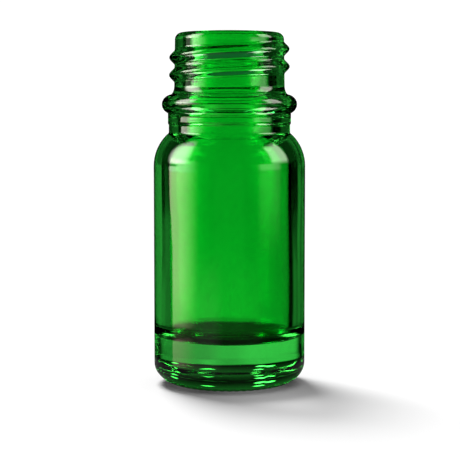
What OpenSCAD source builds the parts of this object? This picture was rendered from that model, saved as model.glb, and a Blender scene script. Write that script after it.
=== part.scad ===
// Small glass medicine bottle with a screw neck, moulded in one piece.
// Origin: middle of the resting face. +Z runs up through the mouth. Millimetres.

/* [Body] */
// Outside diameter of the straight wall
body_d = 22; // [21.5:0.1:22.5]
// Height from the resting face to the top of the lip
total_h = 51; // [50.9:0.1:56]
// Height at which the straight wall turns into the shoulder
shoulder_z = 31.8; // [28:0.1:31.8]
// Radius of the round shoulder
shoulder_r = 6.3; // [5.8:0.1:6.4]

/* [Base] */
// Width of the rounded heel, measured towards the middle
heel_w = 3.9; // [2:0.1:4.5]
// Height of the rounded heel
heel_h = 3.2; // [2:0.1:4.5]
// Width of the flat ring that the bottle rests on
rest_w = 1.2; // [0.8:0.1:2]
// Depth of the hollow under the base
push_up = 0.9; // [0.3:0.1:1.5]

/* [Inside] */
// Thickness of the side wall
wall = 2.35; // [1.9:0.05:2.6]
// Height of the inside floor at its edge
floor_z = 6.7; // [4:0.1:8]
// Rise of the inside floor from its edge to its middle
floor_crown = 0.4; // [0.1:0.1:1]
// Radius between the inside floor and the wall
floor_r = 2.2; // [1:0.1:3]
// Radius of the inside of the shoulder
inner_shoulder_r = 4.3; // [3.8:0.1:4.6]
// Diameter of the bore, which takes a pushed-in dropper insert
bore_d = 11.3; // [10.5:0.1:11.5]
// Depth of the straight bore, from the top of the lip
bore_depth = 8.6; // [8:0.1:9.5]
// Diameter of the throat at the foot of the neck, which a cone joins to the bore
throat_d = 12.4; // [11.6:0.1:12.6]
// Length of the throat's straight part
throat_l = 2.4; // [1:0.1:3]
// Radius where the throat opens into the shoulder
throat_round = 1.4; // [1:0.1:1.8]

/* [Neck] */
// Diameter of the neck between the threads, at the lip
core_d = 15.76; // [15.5:0.02:16.2]
// Growth of that diameter from the lip down to the bead
core_taper = 0.22; // [0:0.02:0.4]
// Radius of the lip's outer edge
lip_r = 1; // [0.6:0.1:1.1]
// Radius of the lip's inner edge
lip_inner_r = 0.7; // [0.4:0.1:0.8]
// Diameter of the thick bead below the thread
bead_d = 19.58; // [19:0.02:20.5]
// Height of the bead
bead_h = 2.94; // [2.4:0.02:3.1]
// Distance from the top of the lip down to the middle of the bead
bead_drop = 10.3; // [10:0.1:10.5]
// Height of the round between the bead and the neck above it
bead_fillet = 1.3; // [0.8:0.1:1.5]
// Diameter of the collar under the bead
collar_d = 17.84; // [17.6:0.02:18.2]
// Distance from the top of the lip down to where the neck ring met the body mould
parting_drop = 13.1; // [12.6:0.1:13.1]
// Step in the collar's radius at that mould joint
parting_step = 0.12; // [0.04:0.02:0.2]

/* [Thread] */
// Outside diameter of the thread
thread_d = 17.3; // [17:0.05:17.8]
// Rise of the thread in one turn
pitch = 2.52; // [2.4:0.02:2.8]
// Length of the thread in degrees, both run-outs included
thread_sweep = 670; // [540:10:720]
// Width of the thread where it leaves the neck
thread_w = 1.9; // [1.6:0.1:2.1]
// Length in degrees over which each end of the thread runs out
run_out = 60; // [30:5:90]
// Distance from the top of the lip down to the thread's upper end
thread_drop = 1.9; // [1.8:0.1:2.4]
// Direction in which the thread's upper end points, anticlockwise from +X
thread_end_angle = 60; // [0:5:355]

/* [Hidden] */

body_r = body_d / 2;
cavity_r = body_r - wall;
bore_r = bore_d / 2;
lip_core_r = core_d / 2;
neck_core_r = lip_core_r + core_taper / 2;
collar_r = collar_d / 2;
waist_r = collar_r - parting_step;
rest_r = body_r - heel_w;

// The bead's section is half of an ellipse whose middle lies just outside the neck.
bead_z = total_h - bead_drop;
bead_mid_r = neck_core_r + 0.1;
bead_depth = bead_d / 2 - bead_mid_r;
bead_half_h = bead_h / 2;
parting_z = total_h - parting_drop;

// Curves are drawn with a point about every so many degrees.
arc_step = 7.5;
glass_green = [0.02, 0.55, 0.12, 0.6];

// Points along an ellipse about (r, z), from one angle to another.
function arc(r, z, r_size, z_size, from, to) =
    let (steps = ceil(abs(to - from) / arc_step))
    [for (i = [0:steps])
        let (a = from + (to - from) * i / steps)
        [r + r_size * cos(a), z + z_size * sin(a)]];

// Angle on the outer shoulder's arc at which it reaches the neck.
shoulder_mid_r = body_r - shoulder_r;
shoulder_end = acos((waist_r - shoulder_mid_r) / shoulder_r);

// Angles on the bead's outline at which it reaches the collar below and the round above.
bead_start = -acos((collar_r - bead_mid_r) / bead_depth);
bead_end = 72;
bead_end_r = bead_mid_r + bead_depth * cos(bead_end);
bead_end_z = bead_z + bead_half_h * sin(bead_end);

// The throat's round stands on the throat and touches the inner shoulder's arc.
inner_shoulder_mid_r = cavity_r - inner_shoulder_r;
throat_mid_r = throat_d / 2 + throat_round;
throat_reach = inner_shoulder_r + throat_round;
throat_angle = acos((throat_mid_r - inner_shoulder_mid_r) / throat_reach);
throat_z = shoulder_z + throat_reach * sin(throat_angle);

// Underside: a shallow dome in the middle, inside the flat ring.
function underside() =
    let (dome_r = rest_r - rest_w, steps = 6)
    [for (i = [0:steps]) let (t = i / steps) [dome_r * t, push_up * (1 - t * t)]];

// Outside, from the resting ring up to the top of the lip.
function outside() = concat(
    arc(rest_r, heel_h, heel_w, heel_h, -90, 0),
    arc(shoulder_mid_r, shoulder_z, shoulder_r, shoulder_r, 0, shoulder_end),
    [[waist_r, parting_z - parting_step], [collar_r, parting_z]],
    arc(bead_mid_r, bead_z, bead_depth, bead_half_h, bead_start, bead_end),
    arc(bead_end_r, bead_end_z + bead_fillet,
        bead_end_r - neck_core_r, bead_fillet, 270 - arc_step, 180),
    arc(lip_core_r - lip_r, total_h - lip_r, lip_r, lip_r, 0, 90));

// Inside, from the top of the lip down to the middle of the floor.
function inside() = concat(
    arc(bore_r + lip_inner_r, total_h - lip_inner_r, lip_inner_r, lip_inner_r, 90, 180),
    [[bore_r, total_h - bore_depth], [throat_d / 2, throat_z + throat_l]],
    arc(throat_mid_r, throat_z, throat_round, throat_round, 180, 180 + throat_angle),
    arc(inner_shoulder_mid_r, shoulder_z, inner_shoulder_r, inner_shoulder_r,
        throat_angle - arc_step / 2, 0),
    arc(cavity_r - floor_r, floor_z + floor_r, floor_r, floor_r, 0, -90),
    [[0, floor_z + floor_crown]]);

module moulded_wall() {
    rotate_extrude($fn = 120) polygon(concat(underside(), outside(), inside()));
}

// Thread: a rounded ridge swept up a right-hand helix, buried in the neck at its root.
// It rises out of the neck and sinks back into it over the run-out at each end.
thread_bury = 0.5;
thread_sink = 0.25;
crest_points = 6;
thread_steps = round(thread_sweep / 12);
thread_top_z = total_h - thread_drop;
thread_height = thread_d / 2 - lip_core_r;
thread_full_height = thread_height + thread_sink;
thread_half_w = thread_w / 2 / sqrt(1 - thread_sink / thread_full_height);

function run_out_share(a) = min(1, a / run_out, (thread_sweep - a) / run_out);

// One cross-section of the ridge at an angle along the sweep.
function thread_section(a) =
    let (turn = thread_end_angle - thread_sweep + a,
         mid_z = thread_top_z - pitch * (thread_sweep - a) / 360,
         rise = thread_full_height * sin(90 * run_out_share(a)),
         root_r = lip_core_r - thread_bury,
         outline = concat(
             [[root_r, -thread_half_w]],
             [for (i = [0:crest_points])
                 let (t = 2 * i / crest_points - 1)
                 [lip_core_r - thread_sink + rise * (1 - t * t), t * thread_half_w]],
             [[root_r, thread_half_w]]))
    [for (p = outline) [p[0] * cos(turn), p[0] * sin(turn), mid_z + p[1]]];

module thread() {
    ring = crest_points + 3;
    points = [for (i = [0:thread_steps]) each thread_section(thread_sweep * i / thread_steps)];
    sides = [for (i = [0:thread_steps - 1], j = [0:ring - 1])
        let (a = i * ring + j, b = i * ring + (j + 1) % ring)
        each [[a, b, b + ring], [a, b + ring, a + ring]]];
    first_cap = [for (j = [ring - 1:-1:0]) j];
    last_cap = [for (j = [0:ring - 1]) thread_steps * ring + j];
    polyhedron(points = points, faces = concat(sides, [first_cap, last_cap]), convexity = 6);
}

module glass_bottle() {
    color(glass_green) {
        moulded_wall();
        thread();
    }
}

glass_bottle();
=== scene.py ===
import math

import bpy
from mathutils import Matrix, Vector, noise


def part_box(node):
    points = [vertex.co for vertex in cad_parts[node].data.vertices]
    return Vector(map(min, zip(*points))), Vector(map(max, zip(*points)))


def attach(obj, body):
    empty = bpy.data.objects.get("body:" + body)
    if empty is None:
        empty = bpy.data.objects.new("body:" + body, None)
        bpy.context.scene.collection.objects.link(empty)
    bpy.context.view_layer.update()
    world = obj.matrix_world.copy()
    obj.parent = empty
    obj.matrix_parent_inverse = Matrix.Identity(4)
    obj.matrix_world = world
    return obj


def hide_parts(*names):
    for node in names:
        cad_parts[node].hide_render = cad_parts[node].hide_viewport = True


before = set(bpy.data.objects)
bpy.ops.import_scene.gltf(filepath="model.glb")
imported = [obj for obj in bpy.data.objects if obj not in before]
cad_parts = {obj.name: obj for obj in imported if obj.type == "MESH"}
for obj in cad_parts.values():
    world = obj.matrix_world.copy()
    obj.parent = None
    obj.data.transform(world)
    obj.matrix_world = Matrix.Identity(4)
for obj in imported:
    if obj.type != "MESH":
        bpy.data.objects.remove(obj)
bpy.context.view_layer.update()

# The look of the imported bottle: one closed mesh of green glass on a pale studio floor.
# Lengths are in metres, and MM turns the bottle's own millimetre sizes into them.
MM = 0.001
LOW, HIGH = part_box("glass_bottle")
BODY_R = (HIGH[0] - LOW[0]) / 2
TOP = HIGH[2]

# ---------------------------------------------------------------- sizes of the glass
SHOULDER_Z = 31.8 * MM
SHOULDER_R = 6.3 * MM
HEEL_W = 3.9 * MM
HEEL_H = 3.2 * MM
REST_W = 1.2 * MM
PUSH_UP = 0.9 * MM
CAVITY_R = BODY_R - 2.35 * MM
FLOOR_Z = 6.7 * MM
FLOOR_CROWN = 0.4 * MM
FLOOR_R = 2.2 * MM
INNER_SHOULDER_R = 4.3 * MM
BORE_R = 5.65 * MM
BORE_DEPTH = 8.6 * MM
THROAT_R = 6.2 * MM
THROAT_L = 2.4 * MM
THROAT_ROUND = 1.4 * MM
LIP_CORE_R = 7.88 * MM
NECK_CORE_R = 7.99 * MM
LIP_R = 1.0 * MM
LIP_INNER_R = 0.7 * MM
BEAD_R = 9.79 * MM
BEAD_HALF_H = 1.47 * MM
BEAD_Z = TOP - 10.3 * MM
BEAD_MID_R = NECK_CORE_R + 0.1 * MM
BEAD_END = 72
BEAD_FILLET = 1.3 * MM
# The collar stands over the parting line, and the narrower waist ends just below it.
PARTING_Z = TOP - 13.1 * MM
PARTING_L = 0.1 * MM
COLLAR_R = 8.92 * MM
COLLAR_L = 0.9 * MM
WAIST_R = 8.80 * MM
WAIST_L = 1.2 * MM

# The thread is a rounded ridge along a helix. A roundness below 1 makes it fuller than a cosine wave.
THREAD_R = 8.65 * MM
THREAD_PITCH = 2.52 * MM
THREAD_SWEEP = 670.0
THREAD_RUN_OUT = 60.0
THREAD_END = 60.0
THREAD_TOP_Z = TOP - 1.9 * MM
THREAD_HALF_W = 1.08 * MM
THREAD_ROUNDNESS = 0.75

# Marks that the mould leaves on the outside of the glass. The seams' places are in degrees.
SEAMS = (8.0, 188.0)
SEAM_HALF_W = 2.2
SEAM_RISE = 0.03 * MM
KNURLS = 48
KNURL_DEPTH = 0.05 * MM
KNURL_IN_R = BODY_R - HEEL_W - REST_W
KNURL_OUT_R = BODY_R - 1.4 * MM
KNURL_FADE = 0.3 * MM

# How far the glass is out of true, and how long its waves and dents are.
INNER_WAVE = 0.05 * MM
INNER_WAVE_L = 5 * MM
INNER_FLATTENING = 0.6
DENT = 0.008 * MM
DENT_L = 3 * MM
HEEL_DENT = 0.03 * MM
HEEL_DENTS_PER_DENT = 2.5
# There are no dents below this height, so that the bottle stands on a flat ring.
REST_H = 0.4 * MM

# How fine the mesh is: sides round the axis, degrees along an arc, and lengths along straight parts.
SIDES = 288
ARC_STEP = 5.0
WALL_GAP = 0.8 * MM
FLOOR_GAP = 0.6 * MM
COLLAR_GAP = 0.3 * MM
REST_GAP = 0.15 * MM
THREAD_GAP = 0.12 * MM


# ---------------------------------------------------------------- outline of the glass
def arc(r, z, r_size, z_size, start, end):
    """Points along an ellipse about (r, z), from one angle to another in degrees."""
    steps = max(2, math.ceil(abs(end - start) / ARC_STEP))
    points = []
    for i in range(steps + 1):
        a = math.radians(start + (end - start) * i / steps)
        points.append((r + r_size * math.cos(a), z + z_size * math.sin(a)))
    return points


def filled(points, gap):
    """The same outline with points added so that none are further apart than gap."""
    out = [points[0]]
    for a, b in zip(points, points[1:]):
        n = max(1, math.ceil(math.dist(a, b) / gap))
        for i in range(1, n + 1):
            out.append((a[0] + (b[0] - a[0]) * i / n, a[1] + (b[1] - a[1]) * i / n))
    return out


def outside_outline():
    """From the middle of the underside out and up to the top of the lip."""
    rest_r = BODY_R - HEEL_W
    dome_r = rest_r - REST_W
    base = [(dome_r * t / 12, PUSH_UP * (1 - (t / 12) ** 2)) for t in range(13)]
    shoulder_mid = BODY_R - SHOULDER_R
    shoulder_end = math.degrees(math.acos((WAIST_R - shoulder_mid) / SHOULDER_R))
    bead_depth = BEAD_R - BEAD_MID_R
    bead_start = -math.degrees(math.acos((COLLAR_R - BEAD_MID_R) / bead_depth))
    end_r = BEAD_MID_R + bead_depth * math.cos(math.radians(BEAD_END))
    neck_z = BEAD_Z + BEAD_HALF_H * math.sin(math.radians(BEAD_END)) + BEAD_FILLET
    return (
        filled(base, FLOOR_GAP)
        + filled([(dome_r, 0), (rest_r, 0)], REST_GAP)[1:]
        + arc(rest_r, HEEL_H, HEEL_W, HEEL_H, -90, 0)[1:]
        + filled([(BODY_R, HEEL_H), (BODY_R, SHOULDER_Z)], WALL_GAP)[1:-1]
        + arc(shoulder_mid, SHOULDER_Z, SHOULDER_R, SHOULDER_R, 0, shoulder_end)
        + filled([(WAIST_R, PARTING_Z - WAIST_L), (WAIST_R, PARTING_Z - PARTING_L)], COLLAR_GAP)
        + filled([(COLLAR_R, PARTING_Z), (COLLAR_R, PARTING_Z + COLLAR_L)], COLLAR_GAP)
        + arc(BEAD_MID_R, BEAD_Z, bead_depth, BEAD_HALF_H, bead_start, BEAD_END)
        + arc(end_r, neck_z, end_r - NECK_CORE_R, BEAD_FILLET, 262, 180)
        + filled([(NECK_CORE_R, neck_z), (LIP_CORE_R, TOP - LIP_R)], THREAD_GAP)[1:]
        + arc(LIP_CORE_R - LIP_R, TOP - LIP_R, LIP_R, LIP_R, 0, 90)[1:]
    )


def inside_outline():
    """From the top of the lip down to the middle of the floor."""
    shoulder_mid = CAVITY_R - INNER_SHOULDER_R
    throat_mid = THROAT_R + THROAT_ROUND
    reach = INNER_SHOULDER_R + THROAT_ROUND
    angle = math.degrees(math.acos((throat_mid - shoulder_mid) / reach))
    throat_z = SHOULDER_Z + reach * math.sin(math.radians(angle))
    neck = [(BORE_R, TOP - LIP_INNER_R), (BORE_R, TOP - BORE_DEPTH),
            (THROAT_R, throat_z + THROAT_L), (THROAT_R, throat_z)]
    return (
        arc(BORE_R + LIP_INNER_R, TOP - LIP_INNER_R, LIP_INNER_R, LIP_INNER_R, 90, 180)
        + filled(neck, FLOOR_GAP)[1:-1]
        + arc(throat_mid, throat_z, THROAT_ROUND, THROAT_ROUND, 180, 180 + angle)
        + arc(shoulder_mid, SHOULDER_Z, INNER_SHOULDER_R, INNER_SHOULDER_R, angle, 0)[1:]
        + filled([(CAVITY_R, SHOULDER_Z), (CAVITY_R, FLOOR_Z + FLOOR_R)], WALL_GAP)[1:-1]
        + arc(CAVITY_R - FLOOR_R, FLOOR_Z + FLOOR_R, FLOOR_R, FLOOR_R, 0, -90)
        + filled([(CAVITY_R - FLOOR_R, FLOOR_Z), (0, FLOOR_Z + FLOOR_CROWN)], FLOOR_GAP)[1:]
    )


def thread_rise(turn, z):
    """How far the thread stands out of the neck at an angle in degrees and a height."""
    rise = 0.0
    lap = math.floor((turn - THREAD_END) / 360)
    for k in range(-2 - lap, 2 - lap):
        a = turn - THREAD_END + 360 * k + THREAD_SWEEP
        if 0 < a < THREAD_SWEEP:
            mid = THREAD_TOP_Z - THREAD_PITCH * (THREAD_SWEEP - a) / 360
            t = (z - mid) / THREAD_HALF_W
            if abs(t) < 1:
                share = min(1, a / THREAD_RUN_OUT, (THREAD_SWEEP - a) / THREAD_RUN_OUT)
                full = (THREAD_R - LIP_CORE_R) * math.sin(math.pi / 2 * share) ** 2
                rise = max(rise, full * (0.5 + 0.5 * math.cos(math.pi * t)) ** THREAD_ROUNDNESS)
    return rise


def mould_marks(turn, r, z):
    """How far the marks of the mould stand out: its two seams, and the knurls cut into the base."""
    out = 0.0
    for seam in SEAMS:
        away = abs((turn - seam + 180) % 360 - 180) / SEAM_HALF_W
        if away < 1 and HEEL_H * 0.5 < z < PARTING_Z:
            out += SEAM_RISE * (0.5 + 0.5 * math.cos(math.pi * away))
    if z < HEEL_H * 0.6 and KNURL_IN_R < r < KNURL_OUT_R:
        wave = math.cos(math.radians(turn * KNURLS))
        fade = min(1, (r - KNURL_IN_R) / KNURL_FADE, (KNURL_OUT_R - r) / KNURL_FADE)
        out -= KNURL_DEPTH * fade * (0.5 - 0.5 * wave)
    return out


def unevenness(x, y, z, inside):
    """How far the glass is out of true: waves on the inside, which end below the lip, and shallow
    dents on the outside, which are deeper on the heel."""
    if inside:
        wave = INNER_WAVE * noise.noise(Vector((x, y, z * INNER_FLATTENING)) / INNER_WAVE_L)
        return wave * min(1, max(0, (TOP - 1 * MM - z) / MM))
    p = Vector((x, y, z)) / DENT_L
    dent = DENT * abs(noise.noise(p)) if z > REST_H else 0
    if z < HEEL_H:
        share = min(1, (HEEL_H - z) / MM, max(0, z - REST_H) / MM)
        dent += HEEL_DENT * abs(noise.noise(p * HEEL_DENTS_PER_DENT)) * share
    return -dent


def build_glass():
    """One closed mesh: rings of points round the axis, from the underside over the lip and down to
    the inside floor."""
    outer = outside_outline()
    inner = inside_outline()[1:]
    outline = outer + inner
    rings = outline[1:-1]
    first_inner = len(outer) - 1
    verts = [(0.0, 0.0, outline[0][1])]
    thread_low = THREAD_TOP_Z - THREAD_PITCH * THREAD_SWEEP / 360 - THREAD_HALF_W
    thread_high = TOP - 0.3 * MM
    thread_root_r = LIP_CORE_R - 0.5 * MM
    for i, (r, z) in enumerate(rings):
        before, after = outline[i], outline[i + 2]
        along = Vector((after[0] - before[0], after[1] - before[1])).normalized()
        out_r, out_z = along.y, -along.x
        inside = i >= first_inner
        for j in range(SIDES):
            turn = 360 * j / SIDES
            a = math.radians(turn)
            rise = 0.0
            bump = unevenness(r * math.cos(a), r * math.sin(a), z, inside)
            if not inside:
                bump += mould_marks(turn, r, z)
                if thread_low < z < thread_high and r > thread_root_r:
                    rise = thread_rise(turn, z)
            at_r = r + rise + out_r * bump
            verts.append((at_r * math.cos(a), at_r * math.sin(a), z + out_z * bump))
    verts.append((0.0, 0.0, outline[-1][1]))
    faces = []
    for j in range(SIDES):
        k = (j + 1) % SIDES
        faces.append((0, 1 + k, 1 + j))
        for i in range(len(rings) - 1):
            a = 1 + i * SIDES
            b = a + SIDES
            faces.append((a + j, a + k, b + k, b + j))
        last = 1 + (len(rings) - 1) * SIDES
        faces.append((last + j, last + k, len(verts) - 1))
    mesh = bpy.data.meshes.new("bottle")
    mesh.from_pydata(verts, [], faces)
    mesh.polygons.foreach_set("use_smooth", [True] * len(mesh.polygons))
    inside_start = 1 + first_inner * SIDES
    mesh.polygons.foreach_set("material_index", [int(min(f) >= inside_start) for f in faces])
    mesh.materials.append(glass_material("glass_outside", OUTSIDE_TINT))
    mesh.materials.append(glass_material("glass_inside", INSIDE_TINT))
    mesh.update()
    return bpy.data.objects.new("bottle", mesh)


# ---------------------------------------------------------------- materials
# Light is tinted where it crosses a surface, more on the outside than on the inside.
OUTSIDE_TINT = (0.03, 0.50, 0.052, 1)
INSIDE_TINT = (0.03, 0.72, 0.22, 1)
GLASS_IOR = 1.52

# The floor's grey, and the grey and the reach that rays out of the glass find it to have. That darker grey is
# painted shade, which stands in for the shade under and round the base.
FLOOR_GREY = 0.9
FLOOR_PAINTED_SHADE_IN_GLASS = 0.1
FLOOR_ENDS_IN_GLASS = (0.024, 0.032)


def glass_material(name, tint):
    """Clear green glass. Shadow rays and rays that the floor scatters go straight through it, least
    where they graze it low down, and the solid base lets the fewest through."""
    material = bpy.data.materials.new(name)
    material.use_nodes = True
    tree = material.node_tree
    shader = tree.nodes["Principled BSDF"]
    shader.inputs["Base Color"].default_value = tint
    shader.inputs["Roughness"].default_value = 0.0
    shader.inputs["IOR"].default_value = GLASS_IOR
    shader.inputs["Transmission Weight"].default_value = 1.0
    m = Maths(tree)
    facing = tree.nodes.new("ShaderNodeLayerWeight")
    facing.inputs["Blend"].default_value = 0.5
    coords = tree.nodes.new("ShaderNodeTexCoord")
    split = tree.nodes.new("ShaderNodeSeparateXYZ")
    tree.links.new(coords.outputs["Object"], split.inputs[0])
    height = split.outputs["Z"]
    passed = m.ramp(facing.outputs["Facing"], 0.35, 0.75, 0.98, 0.05)
    passed = m.op("MAXIMUM", passed, m.ramp(height, 0.2 * TOP, TOP, 0.0, 0.7))
    passed = m.product(passed, m.ramp(height, FLOOR_Z - 2 * MM, FLOOR_Z + 3 * MM, 0.3, 1.0))
    clear = tree.nodes.new("ShaderNodeBsdfTransparent")
    tree.links.new(passed, clear.inputs["Color"])
    path = tree.nodes.new("ShaderNodeLightPath")
    mix = tree.nodes.new("ShaderNodeMixShader")
    unseen = m.op("MAXIMUM", path.outputs["Is Shadow Ray"], path.outputs["Is Diffuse Ray"])
    tree.links.new(unseen, mix.inputs[0])
    tree.links.new(shader.outputs[0], mix.inputs[1])
    tree.links.new(clear.outputs[0], mix.inputs[2])
    tree.links.new(mix.outputs[0], tree.nodes["Material Output"].inputs["Surface"])
    return material


def floor_material():
    """Pale and matt. Rays out of the glass find it nearly black, a painted shade for the shade under and
    round the bottle, and they find it only round the base.
    """
    material = bpy.data.materials.new("floor")
    material.use_nodes = True
    tree = material.node_tree
    shader = tree.nodes["Principled BSDF"]
    shader.inputs["Roughness"].default_value = 0.9
    shader.inputs["Specular IOR Level"].default_value = 0.0
    m = Maths(tree)
    path = tree.nodes.new("ShaderNodeLightPath")
    coords = tree.nodes.new("ShaderNodeTexCoord")
    length = tree.nodes.new("ShaderNodeVectorMath")
    length.operation = "LENGTH"
    tree.links.new(coords.outputs["Object"], length.inputs[0])
    far = m.ramp(length.outputs["Value"], *FLOOR_ENDS_IN_GLASS)
    seen_by_glass = m.op("MAXIMUM", path.outputs["Is Transmission Ray"], path.outputs["Is Glossy Ray"])
    # Rays out of the glass get the darker grey: painted shade round the base.
    grey_and_painted_shade = m.total(m.product(m.rest(seen_by_glass), FLOOR_GREY),
                   m.product(seen_by_glass, FLOOR_PAINTED_SHADE_IN_GLASS))
    tree.links.new(grey_and_painted_shade, shader.inputs["Base Color"])
    clear = tree.nodes.new("ShaderNodeBsdfTransparent")
    mix = tree.nodes.new("ShaderNodeMixShader")
    tree.links.new(m.product(far, seen_by_glass), mix.inputs[0])
    tree.links.new(shader.outputs[0], mix.inputs[1])
    tree.links.new(clear.outputs[0], mix.inputs[2])
    tree.links.new(mix.outputs[0], tree.nodes["Material Output"].inputs["Surface"])
    return material


# ---------------------------------------------------------------- world and lights
class Maths:
    """Shader maths written as calls: every result is a socket that feeds the next one."""

    def __init__(self, tree):
        self.nodes, self.links = tree.nodes, tree.links

    def put(self, value, socket):
        """Set a socket to a number, or link another socket to it."""
        if isinstance(value, (int, float)):
            socket.default_value = value
        else:
            self.links.new(value, socket)

    def op(self, operation, *values):
        node = self.nodes.new("ShaderNodeMath")
        node.operation = operation
        for value, socket in zip(values, node.inputs):
            self.put(value, socket)
        return node.outputs[0]

    def total(self, *values):
        out = values[0]
        for value in values[1:]:
            out = self.op("ADD", out, value)
        return out

    def product(self, *values):
        out = values[0]
        for value in values[1:]:
            out = self.op("MULTIPLY", out, value)
        return out

    def rest(self, value):
        """What value leaves of 1."""
        return self.op("SUBTRACT", 1.0, value)

    def ramp(self, value, low, high, at_low=0.0, at_high=1.0):
        """at_low up to low, at_high from high on, and smooth in between."""
        node = self.nodes.new("ShaderNodeMapRange")
        node.interpolation_type = "SMOOTHSTEP"
        self.put(value, node.inputs["Value"])
        for name, number in (("From Min", low), ("From Max", high), ("To Min", at_low), ("To Max", at_high)):
            node.inputs[name].default_value = number
        return node.outputs["Result"]

    def window(self, value, middle, half, soft, level=1.0):
        """level near middle, 0 further than half from it, with a soft edge."""
        away = self.op("ABSOLUTE", self.op("SUBTRACT", value, middle))
        return self.ramp(away, half - soft, half + soft, level, 0.0)

    def spot(self, across, up, middle, half, level):
        """A soft oval of light: level in the middle, and 0 from 1.4 times its half sizes outwards."""
        parts = []
        for value, centre, size in zip((across, up), middle, half):
            parts.append(self.op("POWER", self.op("DIVIDE", self.op("SUBTRACT", value, centre), size), 2.0))
        return self.ramp(self.total(*parts), 0.0, 2.0, level, 0.0)


# The world is drawn in degrees: azimuth runs from +Y towards +X, and height up from the horizon.

# Small glints on the ceiling that solid glass shows: azimuth, height and level of each.
GLINTS = ((36, 9, 5), (-17, 10, 9), (-24, 12, 9), (-17, 20, 9), (12, 18, 4))
GLINT_HALF = (3.5, 1.5)

# Levels for the camera's own rays and for rays that the floor scatters.
CAMERA_WHITE = 1.1
LIGHT_ON_FLOOR = 0.12

# Red, green and blue of the lamps: the softbox is yellow below -2 degrees and greener above.
SOFTBOX_LOW_TINT = (1.25, 1.0, 0.75)
SOFTBOX_HIGH_TINT = (0.95, 1.0, 0.8)
WINDOW_TINT = (1.0, 1.06, 0.88)
# How much lamps are dimmed that a ray meets straight through the glass, to keep side views even.
LAMP_DIMMING = 0.8


def seen_through(m, azimuth, height, hollow):
    """What a ray meets that crossed the glass without a total reflection."""
    aside = m.op("ABSOLUTE", azimuth)
    solid = m.rest(hollow)
    # A backdrop, brighter on the left and just above the floor, and light from the other sides.
    low_right = m.product(m.ramp(azimuth, 2, 13, 0.0, 0.28), m.ramp(height, -6, -3.5, 1.0, 0.0))
    backdrop = m.product(m.ramp(azimuth, 14, 34, 1.0, 0.75), m.ramp(aside, 48, 60, 1.0, 0.0),
                         m.rest(low_right))
    left_glow = m.product(m.ramp(azimuth, -12, -1, 1.0, 0.0), m.ramp(azimuth, -62, -54),
                          m.ramp(height, -6, -3.5, 0.25, 0.45))
    right_glow = m.product(m.window(azimuth, 10, 4, 4, 0.35), m.ramp(height, -5, -2))
    other_sides = m.ramp(aside, 64, 74)
    behind = m.product(m.total(backdrop, left_glow, right_glow, other_sides),
                       m.ramp(height, -8, -3.5, 1.25, 1.0), m.ramp(height, -16, -12))
    # Through the hollow it reaches far up, with a dim band in it. Through solid glass it ends a
    # little above the horizon, and a dim ceiling with glints follows.
    top_of_hollow = m.product(m.ramp(height, 24, 50, 1.0, 0.3), hollow,
                              m.rest(m.window(height, 32, 5, 2, 0.75)))
    top_of_solid = m.product(m.ramp(height, 3.5, 6.5, 0.72, 0.0), solid)
    glints = [m.spot(azimuth, height, (across, up), GLINT_HALF, level) for across, up, level in GLINTS]
    dim = m.product(m.window(height, 21, 12, 3), m.ramp(height, 10, 32, 0.05, 0.2))
    ceiling = m.product(m.total(dim, *glints), solid)
    far_floor = m.total(m.product(m.ramp(height, -16, -12, 0.85, 0.0), hollow),
                        m.product(m.ramp(height, -23, -17, 0.6, 0.0), solid))
    return m.total(m.product(behind, m.total(top_of_hollow, top_of_solid)), ceiling, far_floor)


def seen_after_reflection(m, azimuth, height):
    """What a ray meets that was totally reflected in the glass: weaker light, with dark gaps."""
    aside = m.op("ABSOLUTE", azimuth)
    patches = m.total(
        m.window(azimuth, -14, 17, 4, 0.6),
        m.window(azimuth, 16, 12, 4, 0.38),
        m.product(m.window(azimuth, 38, 8, 4, 0.3), m.ramp(height, -6, -3.5, 1.0, 0.0)),
        m.product(m.window(azimuth, -52, 9, 4, 0.28), m.ramp(height, -5, -3, 1.0, 0.3)),
        m.product(m.window(azimuth, -38, 5, 3, 0.45), m.ramp(height, -7, -3.5, 1.0, 0.0)),
        m.window(aside, 90, 26, 5, 0.5),
        m.ramp(aside, 148, 156, 0.0, 0.5))
    level = m.window(height, -4.5, 7.5, 2)
    patches = m.product(patches, m.ramp(height, -2, -1.2, 1.0, 0.35), level)
    steep = m.product(m.rest(level), m.ramp(aside, 12, 30, 0.32, 0.05), m.window(height, 0, 40, 8))
    return m.total(patches, steep)


def softbox_light(m, azimuth, height):
    """A tall softbox on the left. Its right edge bends away low down, it is crossed by a dark bar
    and a thin dark line, and it is brighter higher up."""
    lean = m.total(azimuth, m.ramp(height, -5.5, -2.6, 7, 0.0))
    bar = m.product(m.window(height, 2.9, 1.7, 0.6, 0.85), m.ramp(azimuth, -98, -92))
    thin_line = m.window(height, -8.66, 0.28, 0.1, 0.85)
    return m.product(
        m.ramp(azimuth, -135, -95, 0.0, 3.3),
        m.ramp(lean, -78.5, -75.5, 1.0, 0.0),
        m.rest(bar),
        m.ramp(height, -3.4, -1.9, 1.0, 1.3),
        m.ramp(height, -1.9, -1.5, 1.0, 1.4),
        m.rest(thin_line),
        m.ramp(height, -8.5, -6.5, 0.75, 1.0),
        m.window(height, 2, 12, 4))


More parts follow.
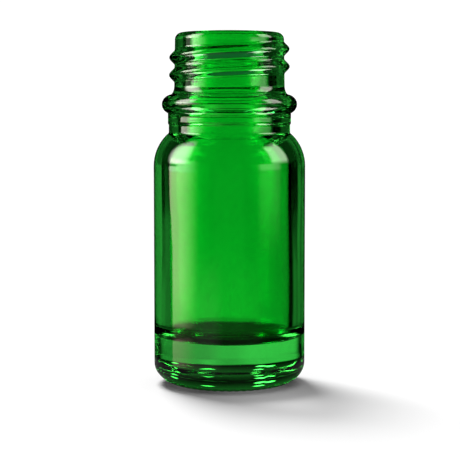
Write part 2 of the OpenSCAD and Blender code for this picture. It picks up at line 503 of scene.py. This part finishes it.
def window_light(m, azimuth, height):
    """A top light on the left, a low and a high window on the right, bright cards low on both
    sides, and the floor in front."""
    aside = m.op("ABSOLUTE", azimuth)
    top_light = m.product(m.spot(azimuth, height, (-93, 23), (18, 25), 10.0), m.ramp(height, 4, 8))
    low_window = m.product(m.total(m.ramp(height, -6, -2.2, 0.0, 0.35), m.ramp(height, -1.6, 0, 0.0, 1.3)),
                           m.window(azimuth, 116, 18, 5), m.ramp(height, 5, 9, 1.0, 0.0))
    high_window = m.product(m.window(azimuth, 96, 16, 4, 6.0), m.window(height, 26, 17, 5))
    low_cards = m.product(m.window(aside, 94, 22, 5, 8.0), m.window(height, -48, 12, 4))
    near_floor = m.product(m.total(m.window(azimuth, -142, 20, 12, 0.22), m.ramp(aside, 120, 140, 0.0, 0.06)),
                           m.ramp(height, -8, -5, 1.0, 0.0))
    return m.total(top_light, low_window, high_window, low_cards, near_floor)


def build_world():
    """White for the camera, and weak even light for the floor. The glass sees three things: what is
    behind it, what a ray that was totally reflected in it comes out to, and lamps."""
    world = bpy.data.worlds.new("studio")
    bpy.context.scene.world = world
    world.use_nodes = True
    tree = world.node_tree
    tree.nodes.clear()
    m = Maths(tree)
    out = tree.nodes.new("ShaderNodeOutputWorld")
    background = tree.nodes.new("ShaderNodeBackground")
    path = tree.nodes.new("ShaderNodeLightPath").outputs
    coords = tree.nodes.new("ShaderNodeTexCoord")
    split = tree.nodes.new("ShaderNodeSeparateXYZ")
    tree.links.new(coords.outputs["Generated"], split.inputs[0])
    degrees = math.degrees(1)
    azimuth = m.product(m.op("ARCTAN2", split.outputs["X"], split.outputs["Y"]), degrees)
    height = m.product(m.op("ARCSINE", split.outputs["Z"]), degrees)

    # A ray that crossed both walls met four surfaces, and one that crossed solid glass met two.
    hollow = m.ramp(path["Transmission Depth"], 2.4, 3.6)
    turned = m.op("MINIMUM", path["Glossy Depth"], 1.0)
    straight = m.rest(turned)
    from_floor = m.op("MINIMUM", path["Diffuse Depth"], 1.0)
    of_glass = m.op("MAXIMUM", path["Is Transmission Ray"], path["Is Reflection Ray"])
    of_glass = m.product(of_glass, m.rest(from_floor))

    through = m.total(m.product(seen_through(m, azimuth, height, hollow), straight),
                      m.product(seen_after_reflection(m, azimuth, height), turned))
    plain = m.total(m.product(through, path["Is Transmission Ray"], of_glass),
                    m.product(path["Is Camera Ray"], CAMERA_WHITE),
                    m.product(path["Is Diffuse Ray"], LIGHT_ON_FLOOR))
    dimmed = m.product(m.rest(m.product(straight, LAMP_DIMMING)), of_glass)
    softbox = softbox_light(m, azimuth, height)
    windows = window_light(m, azimuth, height)
    colour = tree.nodes.new("ShaderNodeCombineColor")
    tints = zip(colour.inputs, SOFTBOX_LOW_TINT, SOFTBOX_HIGH_TINT, WINDOW_TINT)
    for socket, low_share, high_share, window_share in tints:
        soft_share = m.ramp(height, -2.2, -1.5, low_share, high_share)
        lamps = m.total(m.product(softbox, soft_share), m.product(windows, window_share))
        m.put(m.total(plain, m.product(lamps, dimmed)), socket)
    tree.links.new(colour.outputs[0], background.inputs["Color"])
    tree.links.new(background.outputs[0], out.inputs["Surface"])


# Name, energy, spread in degrees, and the direction that the light goes in.
SUNS = (("key", 3.2, 24, (0.46, -0.89, -1.428148)),
        ("fill", 0.8, 90, (0.3, -0.3, -3.7320508)))


def build_lights():
    """A soft key from behind on the left, which throws the shadow forwards and to the right, and a
    very soft fill from nearly overhead. They light the floor only: the glass sees the world."""
    for name, energy, spread, towards in SUNS:
        sun = bpy.data.lights.new(name, "SUN")
        sun.energy = energy
        sun.angle = math.radians(spread)
        lamp = bpy.data.objects.new(name, sun)
        lamp.rotation_euler = Vector(towards).to_track_quat("-Z", "Y").to_euler()
        lamp.visible_glossy = False
        lamp.visible_transmission = False
        bpy.context.scene.collection.objects.link(lamp)


# The photo is square. Its side and the focal length that fits it are in pixels.
PHOTO_SIDE = 460
PHOTO_FOCAL = 1455.7
SENSOR_WIDTH = 36
CAMERA_AT = (0.08 * MM, -211.7 * MM, 39.5 * MM)
CAMERA_DIP = 4.61


def build_camera():
    data = bpy.data.cameras.new("camera")
    data.sensor_width = SENSOR_WIDTH
    data.lens = SENSOR_WIDTH * PHOTO_FOCAL / PHOTO_SIDE
    data.clip_start = 0.01
    data.clip_end = 20
    camera = bpy.data.objects.new("camera", data)
    camera.location = CAMERA_AT
    camera.rotation_euler = (math.radians(90 - CAMERA_DIP), 0, 0)
    bpy.context.scene.collection.objects.link(camera)
    bpy.context.scene.camera = camera


FLOOR_REACH = 1.5


def build_floor():
    """A wide square at the height that the bottle rests at."""
    mesh = bpy.data.meshes.new("floor")
    corners = [(x * FLOOR_REACH, y * FLOOR_REACH, 0) for x, y in ((-1, -1), (1, -1), (1, 1), (-1, 1))]
    mesh.from_pydata(corners, [], [(0, 1, 2, 3)])
    mesh.materials.append(floor_material())
    plane = bpy.data.objects.new("floor", mesh)
    plane.location.z = LOW[2]
    return plane


# ---------------------------------------------------------------- making the scene
build_camera()

bottle = build_glass()
bpy.context.scene.collection.objects.link(bottle)
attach(bottle, "root")
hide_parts("glass_bottle")

floor = build_floor()
bpy.context.scene.collection.objects.link(floor)

build_world()
build_lights()

bpy.context.scene.view_settings.view_transform = "Standard"
